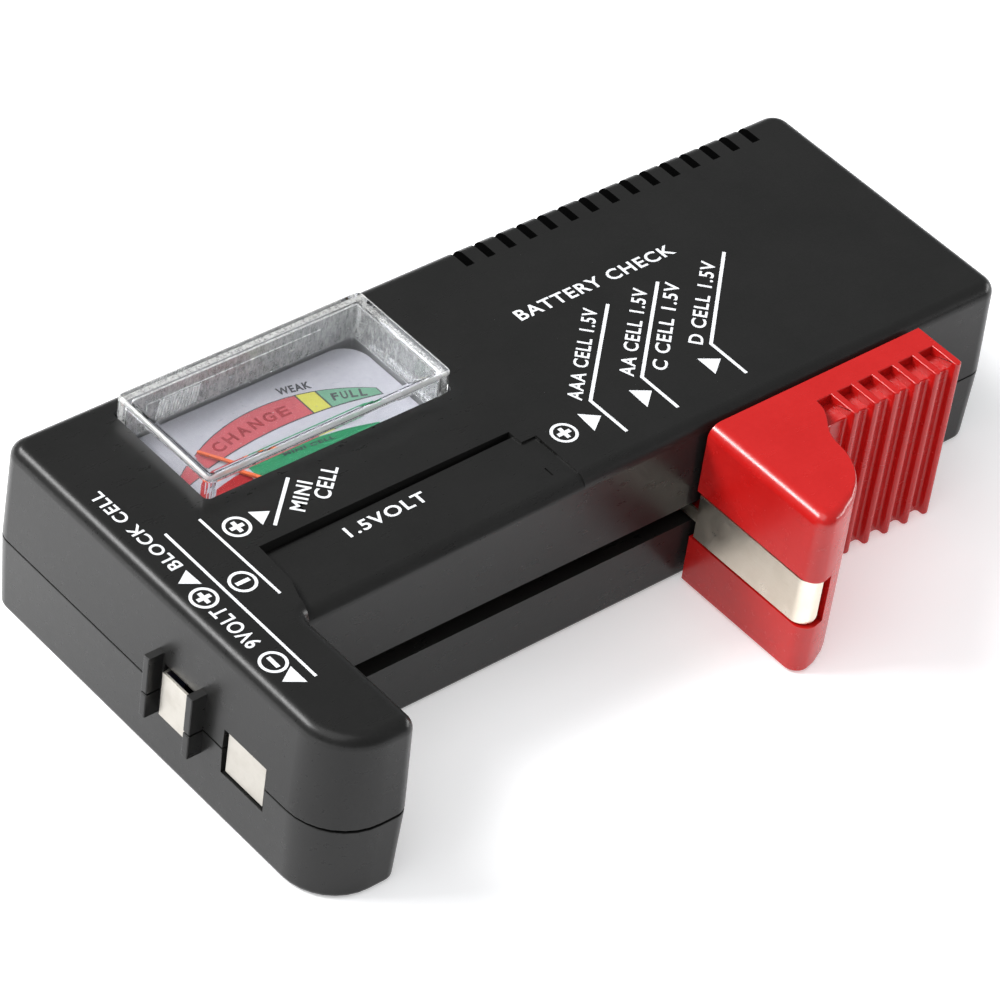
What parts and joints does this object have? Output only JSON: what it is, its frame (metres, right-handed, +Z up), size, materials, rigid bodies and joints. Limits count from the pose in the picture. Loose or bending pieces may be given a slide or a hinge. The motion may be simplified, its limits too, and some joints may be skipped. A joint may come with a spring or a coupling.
{
  "type": "battery tester",
  "caption": "Analogue battery tester: L-shaped black housing with a moving-coil meter, red sliding jaw for round cells and end contacts for a 9 V block.",
  "frame": {"origin": "on the table, under the middle of the bounding box", "axes": "+X along the length, away from the arm; -Y towards the cell bay; +Z up, out of the meter face"},
  "size_m": [0.1118, 0.057, 0.0249],
  "materials": {
    "black_abs": "satin black ABS, lightly textured",
    "clear_styrene": "clear polished polystyrene",
    "printed_scale": "printed pale card under lacquer",
    "needle_paint": "orange paint on aluminium",
    "red_abs": "glossy red ABS",
    "nickel": "nickel-plated steel strip",
    "steel": "zinc-plated steel",
    "grey_styrene": "moulded grey polystyrene",
    "magnet": "ground magnet alloy",
    "brass": "turned brass",
    "enamelled_copper": "enamelled copper winding",
    "spring_bronze": "phosphor bronze",
    "laminate": "phenolic paper laminate",
    "resistor_lacquer": "lacquered carbon film body",
    "trimmer_blue": "moulded blue plastic",
    "red_insulation": "PVC insulation",
    "blue_insulation": "PVC insulation",
    "black_insulation": "PVC insulation",
    "yellow_insulation": "PVC insulation"
  },
  "bodies": {
    "housing": {"top_shell": "black_abs", "bottom_shell": "black_abs", "meter_cover": "clear_styrene", "scale_plate": "printed_scale", "nine_volt_plus_contact": "nickel", "nine_volt_minus_contact": "nickel", "arm_contact": "nickel", "collector_rail": "nickel", "housing_screw_1": "steel", "housing_screw_2": "steel", "housing_screw_3": "steel", "housing_screw_4": "steel", "meter_tub": "grey_styrene", "core_magnet": "magnet", "return_yoke": "steel", "left_core_spacer": "brass", "right_core_spacer": "brass", "movement_frame": "steel", "upper_bridge": "brass", "upper_jewel_screw": "brass", "lower_jewel_screw": "brass", "meter_terminal_plus": "nickel", "meter_terminal_minus": "nickel", "circuit_board": "laminate", "board_screw_1": "steel", "board_screw_2": "steel", "cell_load_resistor": "resistor_lacquer", "battery_load_resistor": "resistor_lacquer", "meter_series_resistor": "resistor_lacquer", "calibration_trimmer": "trimmer_blue", "nine_volt_plus_wire": "red_insulation", "nine_volt_minus_wire": "blue_insulation", "arm_contact_wire": "black_insulation", "rail_wire": "yellow_insulation", "meter_plus_wire": "red_insulation", "meter_minus_wire": "black_insulation"},
    "slider": {"slider_jaw": "red_abs", "slider_contact": "nickel"},
    "movement": {"needle": "needle_paint", "needle_counterweight": "brass", "moving_coil": "enamelled_copper", "upper_pivot": "steel", "lower_pivot": "steel", "upper_hairspring": "spring_bronze", "lower_hairspring": "spring_bronze"}
  },
  "joints": [
    {"name": "slider_slide", "type": "slide", "parent": "housing", "child": "slider", "axis": [1, 0, 0], "range_m": [-0.0515, 0.01]},
    {"name": "needle_swing", "type": "hinge", "parent": "housing", "child": "movement", "pos_m": [-0.0253, 0.0023, 0.017], "axis": [0, 0, -1], "range_deg": [0, 70], "stiffness_Nm_per_rad": 0.00001}
  ]
}
